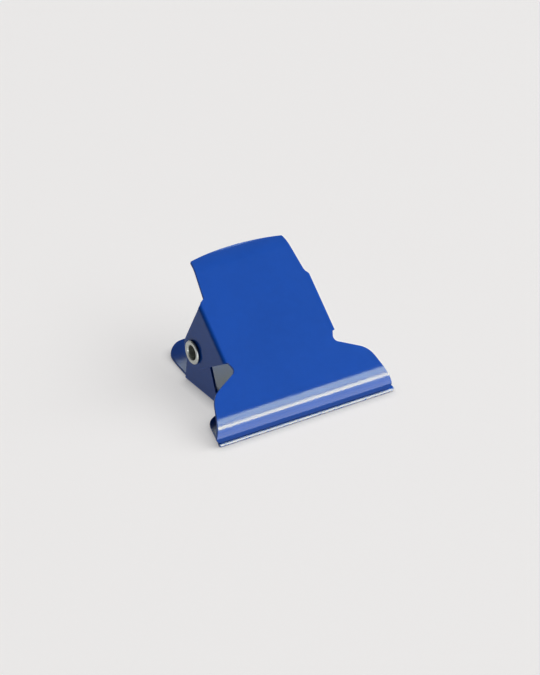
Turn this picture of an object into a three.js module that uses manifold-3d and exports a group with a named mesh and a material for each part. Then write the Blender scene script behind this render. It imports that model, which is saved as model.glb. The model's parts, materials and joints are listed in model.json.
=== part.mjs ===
// Spring clip for paper: two pressed steel plates hinged on a hollow rivet,
// with a torsion spring wound round the rivet that keeps the jaws shut.
// Millimetres, +Z up. X runs along the jaws, -Y is the jaw end and +Y the handle end.
// The lower plate lies on the table, on its turned-down lip and the back of its handle.

import * as THREE from 'three';
import { mergeVertices } from 'three/addons/utils/BufferGeometryUtils.js';
import Module from 'manifold-3d';

// Sheet metal, common to both plates
const SHEET = 0.5;
const JAW_HALF_WIDTH = 20;
const SHOULDER_HALF_WIDTH = 17.57;
const SHOULDER_Y = -11.8;
const SHOULDER_RADIUS = 4.5;
const WING_SLOPE = 0.528;
const NOTCH_HALF_WIDTH = 11;
const NOTCH_RADIUS = 1.1;

// Handles: tapered, with a crowned end that curls towards the other handle. They stand off
// the middle of their ears by a little, so that the two line up although the ears overlap.
const HANDLE_ROOT_HALF_WIDTH = 11.3;
const HANDLE_ROOT_Y = 6.85;
const HANDLE_TAPER = 0.118;
const HANDLE_OFFSET = 0.3;
const HANDLE_CURL_RADIUS = 6;
const HANDLE_CURL_ANGLE = 60;
const CROWN_FILL = 0.93;

// Ears: the side tabs that carry the rivet
const EAR_HALF_WIDTH = 12.62;
const EAR_BEND_RADIUS = 0.8;
const EAR_END_RADIUS = 3.6;
const EAR_FILLET_REACH = 0.75;
const EAR_FILLET_DROP = 1.3;
const EAR_FILLET_STEPS = 4;

// Upper plate: a square-ended handle, and a wide beak of a lip that curves in to the lower jaw
const UPPER = {
  pinDepth: 9.4,
  handleCornerY: 14.92,
  handleCornerRadius: 0.8,
  handleCrownRise: 2,
  curlStartY: 12.1,
  earFront: -6.45,
  earBack: 5.7,
  lipEndY: -20.2,
  lipRadius: 4,
  lipAngle: 67,
  lipCornerRadius: 1.2,
  lipInward: true,
};

// Lower plate: a round-ended handle, and a flat jaw whose narrow lip turns down
const LOWER = {
  pinDepth: 8.7,
  handleCornerY: 15.65,
  handleCornerRadius: 3.9,
  handleCrownRise: 0.3,
  curlStartY: 12.5,
  earFront: -7.7,
  earBack: 4.7,
  lipEndY: -19.76,
  lipRadius: 1.2,
  lipAngle: 80,
  lipCornerRadius: 0.8,
  lipInward: false,
};

// How the plates sit on each other
const JAW_GAP = 0.3;
const EAR_GAP = 0.3;

// Hollow rivet with rolled rims
const RIVET_BORE_RADIUS = 1.4;
const RIVET_WALL = 0.35;
const RIVET_RIM_RADIUS = 2.38;
const RIVET_RIM_THICKNESS = 0.4;
const RIVET_RIM_GAP = 0.2;
const RIVET_HOLE_CLEARANCE = 0.1;

// Torsion spring
const WIRE_DIAMETER = 1.2;
const SPRING_MEAN_RADIUS = 2.9;
const SPRING_PITCH = 1.75;
const SPRING_FULL_TURNS = 7;
const SPRING_LEG_REACH = 11;
const SPRING_PLATE_GAP = 0.3;
const STEPS_PER_TURN = 8;
const WIRE_SIDES = 5;

// Fineness of the round stretches
const ARC_STEP_DEGREES = 9;
const ARC_STEP_LENGTH = 1.6;
const RIM_STEP_DEGREES = 30;
const RIVET_SEGMENTS = 36;

const wasm = await Module();
wasm.setup();

const rad = THREE.MathUtils.degToRad;

// A closed three.js geometry as a solid that can be cut and joined.
function solid(geometry) {
  const bare = geometry.clone();
  bare.deleteAttribute('normal');
  bare.deleteAttribute('uv');
  const merged = mergeVertices(bare, 1e-5);
  return new wasm.Manifold(new wasm.Mesh({
    numProp: 3,
    vertProperties: new Float32Array(merged.attributes.position.array),
    triVerts: new Uint32Array(merged.index.array),
  }));
}

function toGeometry(manifold) {
  const mesh = manifold.getMesh();
  const geometry = new THREE.BufferGeometry();
  geometry.setAttribute('position', new THREE.BufferAttribute(new Float32Array(mesh.vertProperties), 3));
  geometry.setIndex(new THREE.BufferAttribute(new Uint32Array(mesh.triVerts), 1));
  geometry.computeVertexNormals();
  return geometry;
}

// Points on an arc about a centre, from one angle to another in degrees, both ends included.
function arcPoints(cx, cy, radius, from, to, stepDegrees = ARC_STEP_DEGREES) {
  const sweep = Math.abs(to - from);
  const byLength = (rad(sweep) * radius) / ARC_STEP_LENGTH;
  const steps = Math.ceil(Math.max(2, sweep / stepDegrees, byLength));
  const points = [];
  for (let i = 0; i <= steps; i += 1) {
    const angle = rad(from + ((to - from) * i) / steps);
    points.push(new THREE.Vector2(cx + radius * Math.cos(angle), cy + radius * Math.sin(angle)));
  }
  return points;
}

// A closed outline from corners [x, y, radius], each corner rounded to its radius.
function roundedOutline(corners) {
  const points = [];
  corners.forEach(([x, y, radius], i) => {
    const corner = new THREE.Vector2(x, y);
    if (!radius) {
      points.push(corner);
      return;
    }
    const before = corners[(i + corners.length - 1) % corners.length];
    const after = corners[(i + 1) % corners.length];
    const toBefore = new THREE.Vector2(before[0] - x, before[1] - y).normalize();
    const toAfter = new THREE.Vector2(after[0] - x, after[1] - y).normalize();
    const half = Math.acos(THREE.MathUtils.clamp(toBefore.dot(toAfter), -1, 1)) / 2;
    const middle = toBefore.clone().add(toAfter).normalize();
    const centre = corner.clone().addScaledVector(middle, radius / Math.sin(half));
    const start = corner.clone().addScaledVector(toBefore, radius / Math.tan(half)).sub(centre);
    const end = corner.clone().addScaledVector(toAfter, radius / Math.tan(half)).sub(centre);
    const from = THREE.MathUtils.radToDeg(start.angle());
    let sweep = THREE.MathUtils.radToDeg(end.angle()) - from;
    sweep -= 360 * Math.round(sweep / 360);
    points.push(...arcPoints(centre.x, centre.y, radius, from, from + sweep));
  });
  return points;
}

// Prisms of an outline: along Z from an (x, y) outline, and along X from a (y, z) outline.
function prism(points, from, to) {
  const geometry = new THREE.ExtrudeGeometry(new THREE.Shape(points), { depth: to - from, bevelEnabled: false });
  return geometry.translate(0, 0, from);
}

function prismAlongX(points, from, to) {
  const geometry = prism(points, from, to);
  const basis = new THREE.Matrix4().makeBasis(
    new THREE.Vector3(0, 1, 0), new THREE.Vector3(0, 0, 1), new THREE.Vector3(1, 0, 0));
  return geometry.applyMatrix4(basis);
}

// Prism along Y of an (x, z) outline.
function prismAlongY(points, from, to) {
  const geometry = prism(points, -to, -from);
  const basis = new THREE.Matrix4().makeBasis(
    new THREE.Vector3(1, 0, 0), new THREE.Vector3(0, 0, 1), new THREE.Vector3(0, -1, 0));
  return geometry.applyMatrix4(basis);
}

// The lip of a plate, seen from its side in the plate's own frame: the hinge axis at the
// origin, +Y to the handle, +Z out of the plate. Gives the arc's centre, its start and its
// end angles, and the radii of the convex and the concave face.
function lipArc(plate) {
  const outer = plate.lipRadius;
  const startY = plate.lipEndY + outer * Math.sin(rad(plate.lipAngle));
  const convexZ = plate.lipInward ? plate.pinDepth : plate.pinDepth - SHEET;
  const side = plate.lipInward ? 1 : -1;
  return {
    side,
    startY,
    centreZ: convexZ - side * outer,
    convex: outer,
    concave: outer - SHEET,
  };
}

// Points of one face of the lip, from the flat of the plate to the lip's end.
function lipFace(plate, radius) {
  const arc = lipArc(plate);
  return arcPoints(arc.startY, arc.centreZ, radius, arc.side * 90, arc.side * (90 + plate.lipAngle));
}

// Points of one face of the handle's curled end, from its tip to the flat of the plate.
function curlFace(plate, radius) {
  const centreZ = plate.pinDepth - HANDLE_CURL_RADIUS;
  return arcPoints(plate.curlStartY, centreZ, radius, 90 - HANDLE_CURL_ANGLE, 90);
}

// Outline of the whole sheet from the side: the handle's curl, the flat, then the lip.
function sideProfile(plate) {
  const arc = lipArc(plate);
  const outerCurl = curlFace(plate, HANDLE_CURL_RADIUS);
  const innerCurl = curlFace(plate, HANDLE_CURL_RADIUS - SHEET);
  const outward = arc.side > 0;
  const points = [
    ...(outward ? outerCurl : innerCurl),
    ...lipFace(plate, arc.convex),
    ...lipFace(plate, arc.concave).reverse(),
    ...(outward ? innerCurl : outerCurl).reverse(),
  ];
  return outward ? points : points.reverse();
}

// Half width of the jaw's side edge at a place along the plate.
function jawSideX(plate, y) {
  const slope = (JAW_HALF_WIDTH - SHOULDER_HALF_WIDTH) / (plate.lipEndY - SHOULDER_Y);
  return SHOULDER_HALF_WIDTH + slope * (y - SHOULDER_Y);
}

// Half width of the handle at a place along the plate.
function handleSideX(y) {
  return HANDLE_ROOT_HALF_WIDTH - HANDLE_TAPER * (y - HANDLE_ROOT_Y);
}

// Radius of the handle's crowned end, from the share of that end which it may round off.
function crownRadius(plate) {
  const half = handleSideX(plate.handleCornerY);
  const side = Math.hypot(half, plate.handleCrownRise);
  return (CROWN_FILL * (side - plate.handleCornerRadius) * half) / plate.handleCrownRise;
}

// Outline of the sheet from above: handle, bend zone, notch and flared jaw, on both sides.
function planOutline(plate) {
  const cornerY = plate.handleCornerY;
  const rootY = plate.earBack + EAR_FILLET_DROP;
  const bendX = EAR_HALF_WIDTH - EAR_BEND_RADIUS;
  const notchY = SHOULDER_Y + WING_SLOPE * (SHOULDER_HALF_WIDTH - NOTCH_HALF_WIDTH);
  const notchShift = plate.earFront - UPPER.earFront;
  const notchX = NOTCH_HALF_WIDTH - notchShift / WING_SLOPE * 0.6;
  const beyond = plate.lipEndY - SHEET;
  const handle = [
    [handleSideX(cornerY), cornerY, plate.handleCornerRadius],
    [handleSideX(rootY), rootY, 0],
  ];
  const jaw = [
    [bendX, plate.earBack + EAR_FILLET_REACH, 0],
    [bendX, plate.earFront, 0],
    [notchX, notchY - (notchX - NOTCH_HALF_WIDTH) * WING_SLOPE, NOTCH_RADIUS],
    [SHOULDER_HALF_WIDTH, SHOULDER_Y, SHOULDER_RADIUS],
    [jawSideX(plate, beyond), beyond, 0],
  ];
  const side = (sign) => [
    ...handle.map(([x, y, radius]) => [sign * x + HANDLE_OFFSET, y, radius]),
    ...jaw.map(([x, y, radius]) => [sign * x, y, radius]),
  ];
  const crown = [HANDLE_OFFSET, cornerY + plate.handleCrownRise, crownRadius(plate)];
  return roundedOutline([crown, ...side(1), ...side(-1).reverse()]).reverse();
}

// Outline that rounds the corners of the lip's end, seen from the front.
function lipFrontOutline(plate) {
  const arc = lipArc(plate);
  const far = arc.side > 0 ? plate.pinDepth + SHEET : -plate.pinDepth;
  const endZ = arc.centreZ + arc.side * arc.concave * Math.cos(rad(plate.lipAngle));
  const endConvexZ = arc.centreZ + arc.side * arc.convex * Math.cos(rad(plate.lipAngle));
  const end = arc.side > 0 ? Math.min(endZ, endConvexZ) : Math.max(endZ, endConvexZ);
  const corners = [
    [-JAW_HALF_WIDTH, far, 0],
    [JAW_HALF_WIDTH, far, 0],
    [JAW_HALF_WIDTH, end, plate.lipCornerRadius],
    [-JAW_HALF_WIDTH, end, plate.lipCornerRadius],
  ];
  const outline = roundedOutline(corners);
  return THREE.ShapeUtils.isClockWise(outline) ? outline.reverse() : outline;
}

// Where a straight edge from a point touches the round end of an ear. The side is +1 or -1.
function tangentAngle(y, z, radius, side) {
  return THREE.MathUtils.radToDeg(Math.atan2(z, y) + side * Math.acos(radius / Math.hypot(y, z)));
}

// Outline of an ear from its side: straight edges from the bend to a round end about the
// rivet, with a fillet where the back edge meets the handle.
function earOutline(plate) {
  const top = plate.pinDepth;
  const back = tangentAngle(plate.earBack, top, EAR_END_RADIUS, -1);
  const front = tangentAngle(plate.earFront, top, EAR_END_RADIUS, 1);
  const round = arcPoints(0, 0, EAR_END_RADIUS, front, back + 360);
  const corner = new THREE.Vector2(plate.earBack, top);
  const down = round[round.length - 1].clone().sub(corner).setLength(EAR_FILLET_DROP);
  const filletTop = new THREE.Vector2(plate.earBack + EAR_FILLET_REACH, top);
  const fillet = new THREE.QuadraticBezierCurve(corner.clone().add(down), corner, filletTop);
  return [
    new THREE.Vector2(filletTop.x, top + SHEET),
    new THREE.Vector2(plate.earFront, top + SHEET),
    new THREE.Vector2(plate.earFront, top),
    ...round,
    ...fillet.getPoints(EAR_FILLET_STEPS),
  ];
}

// Cross-section of the bend and the ear, seen along the plate, for the ear on the +X side.
function earSection(plate) {
  const top = plate.pinDepth;
  const bendX = EAR_HALF_WIDTH - EAR_BEND_RADIUS;
  const bendZ = top - EAR_BEND_RADIUS;
  const inside = bendX - 2 * SHEET;
  const low = -EAR_END_RADIUS - SHEET;
  return [
    new THREE.Vector2(inside, top - SHEET),
    ...arcPoints(bendX, bendZ, EAR_BEND_RADIUS - SHEET, 90, 0),
    new THREE.Vector2(EAR_HALF_WIDTH - SHEET, low),
    new THREE.Vector2(EAR_HALF_WIDTH, low),
    ...arcPoints(bendX, bendZ, EAR_BEND_RADIUS, 0, 90),
    new THREE.Vector2(inside, top),
  ];
}

function cylinderAlongX(radius, from, to) {
  const geometry = new THREE.CylinderGeometry(radius, radius, to - from, RIVET_SEGMENTS);
  return geometry.rotateZ(Math.PI / 2).translate((from + to) / 2, 0, 0);
}

const RIVET_SHANK_RADIUS = RIVET_BORE_RADIUS + RIVET_WALL;
const RIVET_HOLE_RADIUS = RIVET_SHANK_RADIUS + RIVET_HOLE_CLEARANCE;

// One pressed plate in its own frame: sheet with its lip, two ears and their rivet holes.
function plateSolid(plate) {
  const reach = JAW_HALF_WIDTH + SHEET;
  const far = 2 * plate.pinDepth;
  const sheet = solid(prismAlongX(sideProfile(plate), -reach, reach))
    .intersect(solid(prism(planOutline(plate), -far, far)))
    .intersect(solid(prismAlongY(lipFrontOutline(plate), -2 * far, 2 * far)));
  const earEnd = plate.earBack + EAR_FILLET_REACH;
  const rightEar = solid(prismAlongY(earSection(plate), plate.earFront, earEnd));
  const leftSection = earSection(plate).map((p) => new THREE.Vector2(-p.x, p.y)).reverse();
  const leftEar = solid(prismAlongY(leftSection, plate.earFront, earEnd));
  const trim = solid(prismAlongX(earOutline(plate), -reach, reach));
  const hole = solid(cylinderAlongX(RIVET_HOLE_RADIUS, -reach, reach));
  return sheet.add(rightEar.add(leftEar).intersect(trim)).subtract(hole);
}

// Faces of both jaws as points, each in the frame of the lower plate's hinge axis.
function jawGapAt(angle) {
  const turn = new THREE.Vector2();
  const upperArc = lipArc(UPPER);
  const lowerArc = lipArc(LOWER);
  const upper = [...lipFace(UPPER, upperArc.convex), ...lipFace(UPPER, upperArc.concave)]
    .map((p) => p.clone().rotateAround(turn, angle));
  const lowerTop = -(LOWER.pinDepth - SHEET);
  const centreZ = -lowerArc.centreZ;
  let least = Infinity;
  upper.forEach((p) => {
    const overFlat = p.x > lowerArc.startY;
    const gap = overFlat
      ? p.y - lowerTop
      : Math.hypot(p.x - lowerArc.startY, p.y - centreZ) - lowerArc.convex;
    least = Math.min(least, gap);
  });
  return least;
}

// The angle between the plates at which the upper lip rests on the lower jaw.
function closedAngle() {
  let open = 0;
  let shut = Math.PI / 2;
  for (let i = 0; i < 50; i += 1) {
    const middle = (open + shut) / 2;
    if (jawGapAt(middle) > JAW_GAP) {
      open = middle;
    } else {
      shut = middle;
    }
  }
  return open;
}

// Rivet: a tube with a rolled rim at each end, turned about its axis.
function rivetGeometry(earFace) {
  const rimInner = earFace + RIVET_RIM_GAP;
  const end = rimInner + RIVET_RIM_THICKNESS;
  const round = RIVET_RIM_THICKNESS / 2;
  const mouth = RIVET_WALL;
  const half = [
    new THREE.Vector2(RIVET_SHANK_RADIUS, rimInner),
    ...arcPoints(RIVET_RIM_RADIUS - round, end - round, round, -90, 90, RIM_STEP_DEGREES),
    ...arcPoints(RIVET_BORE_RADIUS + mouth, end - mouth, mouth, 90, 180, RIM_STEP_DEGREES),
  ];
  const other = half.map((p) => new THREE.Vector2(p.x, -p.y)).reverse();
  const profile = [...half, ...other];
  profile.push(profile[0].clone());
  return new THREE.LatheGeometry(profile, RIVET_SEGMENTS).rotateZ(-Math.PI / 2);
}

// Points along the spring wire: a leg on the lower handle, the coil, a leg on the upper handle.
function springPath(angle) {
  const wire = WIRE_DIAMETER / 2;
  const fromPlate = SHEET + SPRING_PLATE_GAP + wire;
  const lowerFoot = new THREE.Vector2(SPRING_LEG_REACH, fromPlate - LOWER.pinDepth);
  const upperFoot = new THREE.Vector2(SPRING_LEG_REACH, UPPER.pinDepth - fromPlate)
    .rotateAround(new THREE.Vector2(), angle);
  const start = tangentAngle(lowerFoot.x, lowerFoot.y, SPRING_MEAN_RADIUS, -1);
  let end = tangentAngle(upperFoot.x, upperFoot.y, SPRING_MEAN_RADIUS, 1);
  while (end > start) {
    end -= 360;
  }
  end -= 360 * SPRING_FULL_TURNS;
  const length = (SPRING_PITCH * (start - end)) / 360;
  const steps = Math.round(((start - end) / 360) * STEPS_PER_TURN);
  const points = [new THREE.Vector3(-length / 2, lowerFoot.x, lowerFoot.y)];
  for (let i = 0; i <= steps; i += 1) {
    const along = i / steps;
    const turn = rad(start + (end - start) * along);
    points.push(new THREE.Vector3(
      length * (along - 0.5),
      SPRING_MEAN_RADIUS * Math.cos(turn),
      SPRING_MEAN_RADIUS * Math.sin(turn),
    ));
  }
  points.push(new THREE.Vector3(length / 2, upperFoot.x, upperFoot.y));
  return points;
}

// A round tube along points, with its ends closed, whose rings are carried from one to the next.
function tubeGeometry(path, radius, sides) {
  const positions = [];
  const indices = [];
  const count = path.length;
  let side = null;
  path.forEach((point, i) => {
    const back = path[Math.max(i - 1, 0)];
    const ahead = path[Math.min(i + 1, count - 1)];
    const before = point.clone().sub(back).normalize();
    const after = ahead.clone().sub(point).normalize();
    const direction = before.add(after).normalize();
    if (side === null) {
      side = new THREE.Vector3(1, 0, 0);
    }
    side.addScaledVector(direction, -side.dot(direction)).normalize();
    const up = direction.clone().cross(side);
    for (let k = 0; k < sides; k += 1) {
      const a = (k / sides) * Math.PI * 2;
      const ring = point.clone()
        .addScaledVector(side, radius * Math.cos(a))
        .addScaledVector(up, radius * Math.sin(a));
      positions.push(ring.x, ring.y, ring.z);
    }
  });
  for (let i = 0; i < count - 1; i += 1) {
    for (let k = 0; k < sides; k += 1) {
      const a = i * sides + k;
      const b = i * sides + ((k + 1) % sides);
      indices.push(a, b, a + sides, b, b + sides, a + sides);
    }
  }
  for (let k = 1; k < sides - 1; k += 1) {
    const last = (count - 1) * sides;
    indices.push(0, k + 1, k, last, last + k, last + k + 1);
  }
  const geometry = new THREE.BufferGeometry();
  geometry.setAttribute('position', new THREE.Float32BufferAttribute(positions, 3));
  geometry.setIndex(indices);
  geometry.computeVertexNormals();
  return geometry;
}

// The least gap of the wire to itself, on points along it that are a turn or so apart.
function leastSelfGap(path) {
  const curve = new THREE.CurvePath();
  for (let i = 0; i < path.length - 1; i += 1) {
    curve.add(new THREE.LineCurve3(path[i], path[i + 1]));
  }
  const spacing = WIRE_DIAMETER / 4;
  const points = curve.getSpacedPoints(Math.round(curve.getLength() / spacing));
  const skip = Math.round((Math.PI * SPRING_MEAN_RADIUS) / spacing);
  let least = Infinity;
  for (let i = 0; i < points.length; i += 1) {
    for (let j = i + skip; j < points.length; j += 1) {
      least = Math.min(least, points[i].distanceTo(points[j]) - WIRE_DIAMETER);
    }
  }
  return least;
}

const enamel = new THREE.MeshStandardMaterial({ color: 0x1f4eab, roughness: 0.18, metalness: 0 });
const zinc = new THREE.MeshStandardMaterial({ color: 0xb9c0ba, roughness: 0.32, metalness: 1 });
const springSteel = new THREE.MeshStandardMaterial({ color: 0x8d9096, roughness: 0.35, metalness: 1 });

function part(name, geometry, material) {
  const mesh = new THREE.Mesh(geometry, material);
  mesh.name = name;
  return mesh;
}

const angle = closedAngle();
const stagger = SHEET + EAR_GAP;

const upperPlate = part('upper_plate', toGeometry(plateSolid(UPPER)), enamel);
upperPlate.rotation.x = angle;
upperPlate.position.x = -stagger / 2;

const lowerPlate = part('lower_plate', toGeometry(plateSolid(LOWER)), enamel);
lowerPlate.rotation.y = Math.PI;
lowerPlate.position.x = stagger / 2;

const rivet = part('hollow_rivet', rivetGeometry(EAR_HALF_WIDTH + stagger / 2), zinc);

const wirePath = springPath(angle);
const spring = part('torsion_spring', tubeGeometry(wirePath, WIRE_DIAMETER / 2, WIRE_SIDES), springSteel);

const hinge = new THREE.Group();
hinge.add(upperPlate, lowerPlate, rivet, spring);

// Tipped so that the lower lip's end and the start of the handle's curl both touch the
// table, then set with the middle of its outline over the origin.
const lowerArc = lipArc(LOWER);
const lipDrop = lowerArc.centreZ - lowerArc.concave * Math.cos(rad(LOWER.lipAngle)) - LOWER.pinDepth;
const lipTouchY = lowerArc.startY - lowerArc.concave * Math.sin(rad(LOWER.lipAngle));
hinge.rotation.x = -Math.atan2(lipDrop, LOWER.curlStartY - lipTouchY);
hinge.updateMatrixWorld(true);
const box = new THREE.Box3().setFromObject(hinge, true);
hinge.position.set(-(box.min.x + box.max.x) / 2, -(box.min.y + box.max.y) / 2, -box.min.z);

const clip = new THREE.Group();
clip.add(hinge);

console.log(`closed angle ${THREE.MathUtils.radToDeg(angle).toFixed(2)} degrees`);
console.log(`spring wire: least gap to itself ${leastSelfGap(wirePath).toFixed(2)} mm`);

export default clip;
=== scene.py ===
"""Spring clip for paper: two enamelled plates, a hollow rivet with rolled rims and a wound spring.

Sizes in the panel are in millimetres, and are placed in the model's frame, which is in metres.
"""

import json
import math

import bmesh
import bpy
from bpy.props import BoolProperty, FloatProperty, FloatVectorProperty, IntProperty, PointerProperty
from bpy.types import Operator, Panel, PropertyGroup
from mathutils import Euler, Matrix, Vector
from mathutils.geometry import delaunay_2d_cdt


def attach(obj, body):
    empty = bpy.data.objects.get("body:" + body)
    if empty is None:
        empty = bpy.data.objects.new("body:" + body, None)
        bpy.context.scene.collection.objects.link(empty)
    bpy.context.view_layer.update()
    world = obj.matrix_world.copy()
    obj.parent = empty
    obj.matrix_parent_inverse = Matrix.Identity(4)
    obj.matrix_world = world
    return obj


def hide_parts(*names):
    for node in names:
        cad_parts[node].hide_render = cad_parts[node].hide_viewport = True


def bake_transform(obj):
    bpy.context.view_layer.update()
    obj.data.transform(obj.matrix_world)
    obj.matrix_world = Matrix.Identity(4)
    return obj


bl_info = {
    "name": "Paper spring clip",
    "version": (1, 0, 0),
    "blender": (4, 5, 0),
    "location": "View3D > Sidebar > Clip",
    "description": "Builds an enamelled steel spring clip with a hollow rivet and a torsion spring",
    "category": "Object",
}

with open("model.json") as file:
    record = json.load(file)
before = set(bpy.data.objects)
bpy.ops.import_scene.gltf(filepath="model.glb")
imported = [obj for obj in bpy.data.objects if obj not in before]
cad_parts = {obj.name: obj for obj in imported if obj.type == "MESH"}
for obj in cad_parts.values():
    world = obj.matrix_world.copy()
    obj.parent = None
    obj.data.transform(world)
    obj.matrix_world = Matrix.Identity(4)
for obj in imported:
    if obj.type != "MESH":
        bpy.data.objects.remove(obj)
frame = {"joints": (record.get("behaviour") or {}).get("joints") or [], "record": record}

MM = 0.001
QUARTER = math.pi / 2

# How finely the folded sheet is meshed: lengths in millimetres, and counts
LONGEST_ARC_SIDE = 1.2
LONGEST_EDGE_SIDE = 0.5
EDGE_CLEARANCE = 0.06
FOLD_MARGIN = 0.12
FLAT_COLUMNS = 26
FOLD_COLUMNS = 10
EAR_COLUMNS = 28
EAR_COLUMN_GAP = 0.43
LIP_ROWS = 24
FLAT_ROW_GAP = 0.9
CURL_ROWS = 34
CURL_ROW_GAP = 0.25
EDGE_ROUND_STEPS = 4
COIL_STEPS = 40

# Share of a shifted ear's front that the relief notch follows
NOTCH_FOLLOWS = 0.6

# The camera in the clip's own frame: millimetres, and degrees about X, Y and Z
CAMERA_PLACE = (-268.65, -423.34, 282.59)
CAMERA_TURN = (60.5312, -0.3266, -32.6224)
LENS = 158.91
SENSOR_HEIGHT = 36.0
VIEW_GAMMA = 0.8

# The table reaches this far from the clip each way, in metres
TABLE_REACH = 8.0
TABLE_GLOW = 0.8
CONTACT_SHADE_REACH = 0.0022
ROOM_COLOUR = (0.98, 0.985, 1.0)
ROOM_STRENGTH = 0.05
BACKDROP_STRENGTH = 1.05

# Glowing panels: azimuth, lower and upper elevation and width in degrees, distance in metres,
# then the colour, the strength and what they show in
PANELS = (
    ("window", (-60.0, 16.0, 30.0, 25.0, 3.0), (1.0, 0.885, 0.44), 28.0, "gloss"),
    ("window_top", (-58.0, 30.0, 42.0, 44.0, 3.0), (1.0, 1.0, 0.59), 13.1, "gloss"),
    ("window_sill", (-60.0, 0.5, 16.0, 25.0, 3.0), (0.97, 1.0, 0.95), 6.2, "gloss"),
    ("wall_back_right", (57.0, 4.0, 32.0, 60.0, 3.5), (0.92, 1.0, 1.0), 2.95, "gloss"),
    ("soft_light", (-44.0, 22.0, 62.0, 84.0, 3.0), (1.0, 1.0, 1.0), 6.0, "shade"),
)

# Level white panels: two corners and the height in metres, the strength and what they show in
LEVEL_PANELS = (
    ("ceiling", (-0.8, -2.6), (3.0, 4.0), 3.0, 0.5, "gloss"),
    ("soft_top", (0.3, -2.5), (3.5, 1.5), 3.0, 1.4, "shade"),
    ("table_sheen", (-0.7, -0.6), (0.7, -0.0206), 3e-4, 6.2, "gloss"),
)


def hinge_frame():
    """Turns the clip's own frame, hinge axis at the origin and lower plate level, into the model's."""
    joint = frame["joints"][0]
    mount = next(m for m in frame["record"]["mounts"] if m["name"] == "base_face")
    down = Vector(mount["axis"])
    tilt = math.atan2(down.y, -down.z)
    turned = Matrix.Translation(Vector(joint["pos_m"])) @ Matrix.Rotation(tilt, 4, "X")
    return turned @ Matrix.Scale(MM, 4)


class SheetSettings(PropertyGroup):
    """Sizes that both plates share."""

    thickness: FloatProperty(name="Sheet", description="Thickness of the steel", default=0.5, min=0.2)
    jaw_half_width: FloatProperty(name="Jaw half width", description="Half the jaw's width", default=20.0)
    shoulder_x: FloatProperty(name="Shoulder X", description="Corner of the flare", default=17.57)
    shoulder_y: FloatProperty(name="Shoulder Y", description="Corner of the flare", default=-11.8)
    shoulder_radius: FloatProperty(name="Shoulder radius", description="Rounding of the flare", default=4.5)
    wing_slope: FloatProperty(
        name="Wing slope", description="Fall of the flare's upper edge", default=0.528
    )
    notch_x: FloatProperty(name="Notch X", description="Half width at the notch's corner", default=11.0)
    notch_radius: FloatProperty(name="Notch radius", description="Radius of the notch", default=1.1)
    notch_ear: FloatProperty(
        name="Notch datum", description="Ear front that the notch is drawn for", default=-6.45
    )
    root_x: FloatProperty(name="Handle root", description="Half width at the ears", default=11.3)
    root_y: FloatProperty(name="Handle root Y", description="Where the handle begins", default=6.85)
    taper: FloatProperty(name="Handle taper", description="Half width lost per millimetre", default=0.118)
    offset: FloatProperty(
        name="Handle offset", description="Handle off the middle of its ears", default=0.3
    )
    curl_ease_radius: FloatProperty(
        name="Curl ease radius", description="Gentle bend before the curl", default=30.0
    )
    curl_radius: FloatProperty(name="Curl radius", description="Curl of the handle's end", default=6.0)
    crown_fill: FloatProperty(
        name="Crown",
        description="Share of the handle's end that is arched",
        subtype="FACTOR",
        min=0.1,
        max=1.0,
        default=0.93,
    )
    ear_x: FloatProperty(name="Ear face", description="Outer face of an ear from the middle", default=12.62)
    ear_bend: FloatProperty(name="Ear bend", description="Outer radius of the ear's fold", default=0.8)
    ear_radius: FloatProperty(name="Ear end radius", description="Round end about the rivet", default=3.6)
    fillet_reach: FloatProperty(name="Fillet reach", description="Fillet along the handle", default=0.75)
    fillet_drop: FloatProperty(name="Fillet drop", description="Fillet down the ear", default=1.3)
    hole: FloatProperty(name="Rivet hole", description="Radius of the hole in an ear", default=1.85)
    stagger: FloatProperty(name="Stagger", description="Side shift of one plate to the other", default=0.8)
    closed_angle: FloatProperty(
        name="Closed angle", description="Between the plates", subtype="ANGLE", default=math.radians(41.64)
    )
    edge_round: FloatProperty(name="Edge rounding", description="Enamel round the cut edges", default=0.08)


class PlateSettings(PropertyGroup):
    """Sizes in which one plate differs from the other. The defaults are the upper plate's."""

    pin_depth: FloatProperty(name="Pin depth", description="Hinge axis below the outer face", default=9.4)
    corner_y: FloatProperty(name="Handle end", description="Corner of the handle", default=14.92)
    corner_radius: FloatProperty(name="Handle corner", description="Rounding of the corner", default=0.35)
    crown_rise: FloatProperty(name="Crown rise", description="Arch of the handle's end", default=2.0)
    curl_start: FloatProperty(
        name="Curl start", description="Where the handle starts to curl", default=12.1
    )
    ear_front: FloatProperty(name="Ear front", description="Front of the ear's fold", default=-6.45)
    ear_back: FloatProperty(name="Ear back", description="Back of the ear's fold", default=5.7)
    lip_end_y: FloatProperty(name="Lip end", description="Reach of the lip", default=-20.2)
    lip_radius: FloatProperty(name="Lip radius", description="Convex radius of the lip", default=3.7)
    lip_angle: FloatProperty(
        name="Lip angle", description="Whole turn of the lip", subtype="ANGLE", default=math.radians(67.0)
    )
    curl_ease: FloatProperty(
        name="Curl ease", description="Turn before the curl", subtype="ANGLE", default=math.radians(0.5)
    )
    ease_radius: FloatProperty(name="Ease radius", description="Gentle bend before the lip", default=9.0)
    ease_angle: FloatProperty(
        name="Ease angle", description="Turn of that bend", subtype="ANGLE", default=math.radians(15.0)
    )
    lip_corner: FloatProperty(name="Lip corner", description="Rounding of the lip's corners", default=1.2)
    lip_inward: BoolProperty(name="Lip inward", description="Lip turns to the other jaw", default=True)


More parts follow.
